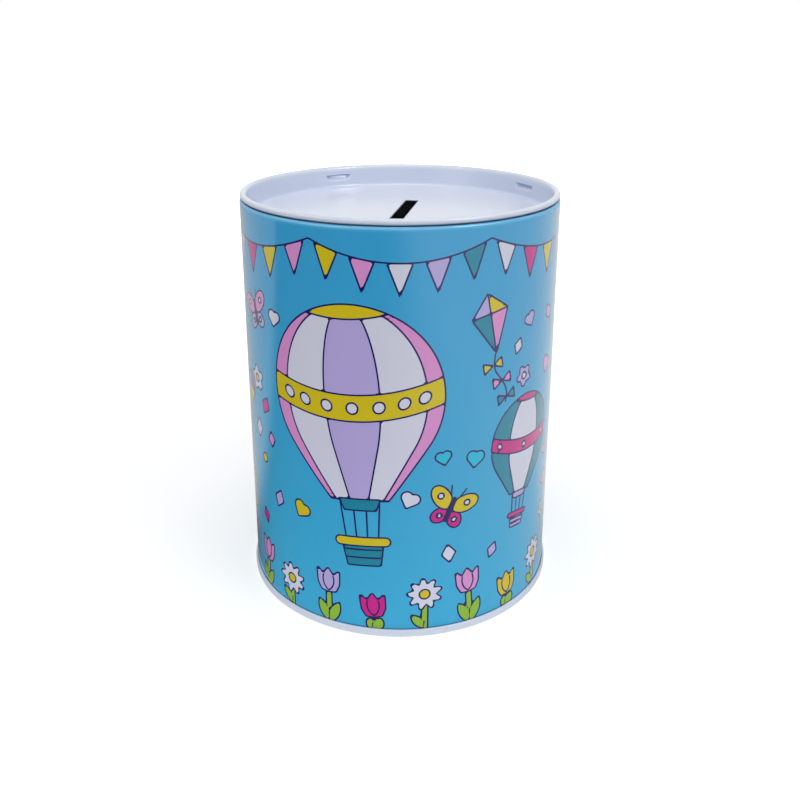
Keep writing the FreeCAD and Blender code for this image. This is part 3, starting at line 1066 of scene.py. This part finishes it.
def enamel_paint(tree, place):
    """Plain white enamel, with painted bluish shade in the corners and recesses of its pressings."""
    tint = toned(tree, place, ENAMEL, scale=24.0, amount=0.03)
    return blend_colour(tree, held(tree, "painted_shade")["Fac"], tint, BLUISH_SHADE)


GROUND_LOW = colour(51, 176, 223)
GROUND_HIGH = colour(51, 165, 219)
ENAMEL = colour(214, 221, 236)
OUTLINE = 0.26  # mm, half the width of a printed outline
PEN_LINE = 0.25
INK_SOFTNESS = 0.05
SEAM_MARGIN = 1.0
# Painted highlight on the round shoulder: its colour, its share at the top, and how far down it reaches
SHOULDER_HIGHLIGHT = colour(150, 226, 250)
SHOULDER_HIGHLIGHT_SHARE = 0.25
SHOULDER_HIGHLIGHT_REACH = 1.8 * MM  # down from the top of the wall
# Painted shade in the creases below the lid's rim and above the base's seam: its colour, how far it reaches,
# and its share
CREASE_SHADE_COLOUR = colour(2, 46, 96)
RIM_CREASE = 0.22 * MM
RIM_CREASE_SHADE = 0.85
FOOT_CREASE = 0.6 * MM
FOOT_CREASE_SHADE = 0.459
# Colour of the painted shade in the enamel
BLUISH_SHADE = colour(88, 130, 205)
COAT_EDGE = (0.45, 0.55)  # shares of the coated field between which the coat ends
VARNISH_ROUGHNESS = 0.07
WAVE_HEIGHT = 3.0  # of the coat's slow waves, for 1 of its peel
RUB_SOFTNESS = 0.06
RUB_DULLING = 0.15
DULL_TIN = colour(188, 190, 192)
BRIGHT_TIN = colour(216, 217, 218)
ROLLING_SCALE = (60, 60, 5200)  # stretches the noise into lines round the tin
TIN_METALLIC = 0.6
TIN_ROUGHNESS = 0.3
TIN_HAZE = 0.1

TONE_DRIFT = tone_drift_group()
GLOSS_SKIN = gloss_skin_group()
EDGE_RUB = edge_rub_group()
BARE_TIN = bare_tin_group()

litho = coated_tin(
    "litho_varnish", litho_paint, roughness=0.2, haze=0.08, rub_amount=0.5, peel=0.0003 * MM, varnish=1.0)
enamel = coated_tin(
    "white_enamel", enamel_paint, roughness=0.18, haze=0.06, rub_amount=0.4, peel=0.0004 * MM, varnish=0.0)
for piece, body, node, slot, material in (
    (wall_piece(), "tin", "printed_body", "printed_tinplate", litho),
    (base_piece(), "tin", "seamed_base", "white_enamel", enamel),
    (lid_piece(), "lid", "slotted_lid", "white_enamel", enamel),
):
    piece.data.materials.append(material)
    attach(piece, body)
    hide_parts(node)


# Stage, light and camera

FLOOR_HALF = 6.0
FLOOR_DROP = 0.05 * MM
FLOOR_COLOUR = (0.86, 0.86, 0.86, 1)
NEAR_GLOW = 0.36  # what the camera sees beside the light that falls on the floor, near the tin and far away
NEAR_REACH = 0.1
FAR_GLOW = 1.0
FAR_REACH = 0.35
LEFT_MIRRORED = 0.06  # what reflections show of the floor in front of the tin, and behind it
RIGHT_MIRRORED = 0.78
FRONT_SPAN = (-0.1, 0.2)  # from the left to the right of the tin
BACK_LEFT_MIRRORED = 0.5
BACK_RIGHT_MIRRORED = 0.75
BACK_SPAN = (-0.1, 0.1)
BEHIND_REACH = 0.05
TABLE_GLOW = 0.5  # light that the floor near the tin gives, like a light table
TABLE_REACH = 0.3
SKY_LIGHT = 0.44
SHINE_BEARINGS = (-75, -22, 31, 84)


def looking_rays(tree):
    """1 for rays from the camera, and 1 for mirrored and refracted ones."""
    rays = add(tree, "ShaderNodeLightPath").outputs
    mirrored = maths(tree, "MAXIMUM", rays["Is Glossy Ray"], rays["Is Transmission Ray"])
    return rays["Is Camera Ray"], mirrored


def distance_along(tree, place, direction):
    """How far a place lies along a direction."""
    product = add(tree, "ShaderNodeVectorMath", {0: place, 1: direction}, operation="DOT_PRODUCT")
    return product.outputs["Value"]


def floor_piece():
    """White floor: matt, so that it keeps the shadow, with a glow that is not the same for all rays.

    For the camera the glow grows with the distance from the tin, where less of the lamps' light falls. Light
    comes only from the floor near the tin. Reflections show a glow alone, which grows from the left to the
    right in front of the tin, and less so behind it.
    """
    material = bpy.data.materials.new("white_floor")
    tree = blank_tree(material)
    place = add(tree, "ShaderNodeTexCoord").outputs["Object"]
    away = add(tree, "ShaderNodeVectorMath", {0: place}, operation="LENGTH").outputs["Value"]
    aside = distance_along(tree, place, (-math.sin(front_angle), math.cos(front_angle), 0))
    before = distance_along(tree, place, (math.cos(front_angle), math.sin(front_angle), 0))
    camera_rays, mirror_rays = looking_rays(tree)
    matt = add(tree, "ShaderNodeBsdfDiffuse", {"Color": FLOOR_COLOUR})
    seen = ramp(tree, away, NEAR_REACH, FAR_REACH, NEAR_GLOW, FAR_GLOW)
    table = ramp(tree, away, TABLE_REACH, 0.0, 0.0, TABLE_GLOW)
    glow = add(tree, "ShaderNodeEmission", {"Strength": blend_value(tree, camera_rays, table, seen)})
    direct = add(tree, "ShaderNodeAddShader", {0: matt.outputs[0], 1: glow.outputs[0]})
    front = ramp(tree, aside, *FRONT_SPAN, LEFT_MIRRORED, RIGHT_MIRRORED)
    back = ramp(tree, aside, *BACK_SPAN, BACK_LEFT_MIRRORED, BACK_RIGHT_MIRRORED)
    behind = ramp(tree, before, 0.0, -BEHIND_REACH)
    mirrored = add(tree, "ShaderNodeEmission", {"Strength": blend_value(tree, behind, front, back)})
    lit = add(tree, "ShaderNodeMixShader", {0: mirror_rays, 1: direct.outputs[0], 2: mirrored.outputs[0]})
    clear = add(tree, "ShaderNodeBsdfTransparent")
    below = add(tree, "ShaderNodeNewGeometry").outputs["Backfacing"]
    both = add(tree, "ShaderNodeMixShader", {0: below, 1: lit.outputs[0], 2: clear.outputs[0]})
    add(tree, "ShaderNodeOutputMaterial", {"Surface": both.outputs[0]})
    mesh = bpy.data.meshes.new("floor")
    corners = [(x * FLOOR_HALF, y * FLOOR_HALF, -FLOOR_DROP) for x, y in ((-1, -1), (1, -1), (1, 1), (-1, 1))]
    mesh.from_pydata(corners, [], [(0, 1, 2, 3)])
    mesh.materials.append(material)
    floor = placed("floor", mesh)


def lamp(name, bearing, lift, distance, width, height, power, mirrored_only=False):
    """Soft lamp at a bearing from the camera's and a lift in degrees, aimed at the middle of the tin."""
    light = bpy.data.lights.new(name, "AREA")
    light.shape = "RECTANGLE"
    light.size = width
    light.size_y = height
    light.energy = power
    angle = front_angle + math.radians(bearing)
    rise = math.radians(lift)
    middle = Vector((0, 0, rim_top / 2))
    away = Vector((math.cos(angle) * math.cos(rise), math.sin(angle) * math.cos(rise), math.sin(rise)))
    holder = placed(name, light)
    holder.location = middle + away * distance
    holder.rotation_euler = away.to_track_quat("Z", "Y").to_euler()
    holder.visible_diffuse = not mirrored_only


def set_world():
    """White surroundings: a strength of 1 where they are seen, and less as light."""
    world = bpy.data.worlds.new("white_room")
    tree = blank_tree(world)
    seen = maths(tree, "MAXIMUM", *looking_rays(tree))
    strength = ramp(tree, seen, 0.0, 1.0, SKY_LIGHT, 1.0)
    sky = add(tree, "ShaderNodeBackground", {"Color": (1, 1, 1, 1), "Strength": strength})
    add(tree, "ShaderNodeOutputWorld", {"Surface": sky.outputs[0]})
    bpy.context.scene.world = world


def set_camera():
    """Camera of the photograph: level sideways, dipped towards the tin, with its frame shifted down."""
    lens = bpy.data.cameras.new("photo_view")
    lens.lens = CAMERA_LENS
    lens.shift_y = CAMERA_SHIFT
    holder = placed("photo_view", lens)
    distance = CAMERA_DISTANCE
    holder.location = (distance * math.cos(front_angle), distance * math.sin(front_angle), CAMERA_HEIGHT)
    holder.rotation_euler = (math.pi / 2 - CAMERA_DIP, 0, CAMERA_BEARING)
    bpy.context.scene.camera = holder


floor_piece()
set_world()
set_camera()
lamp("key", bearing=52, lift=38, distance=0.7, width=0.3, height=0.3, power=0.8)
lamp("fill", bearing=-50, lift=22, distance=0.8, width=0.4, height=0.4, power=0.6)
lamp("top", bearing=0, lift=84, distance=0.7, width=0.42, height=0.42, power=1.8)
lamp("glint", bearing=50, lift=40, distance=0.7, width=0.1, height=0.3, power=1.3, mirrored_only=True)
for number, bearing in enumerate(SHINE_BEARINGS):
    name = f"shine_{number}"
    lamp(name, bearing, lift=36, distance=0.7, width=0.7, height=0.3, power=1.0, mirrored_only=True)
bpy.context.scene.view_settings.view_transform = "Standard"
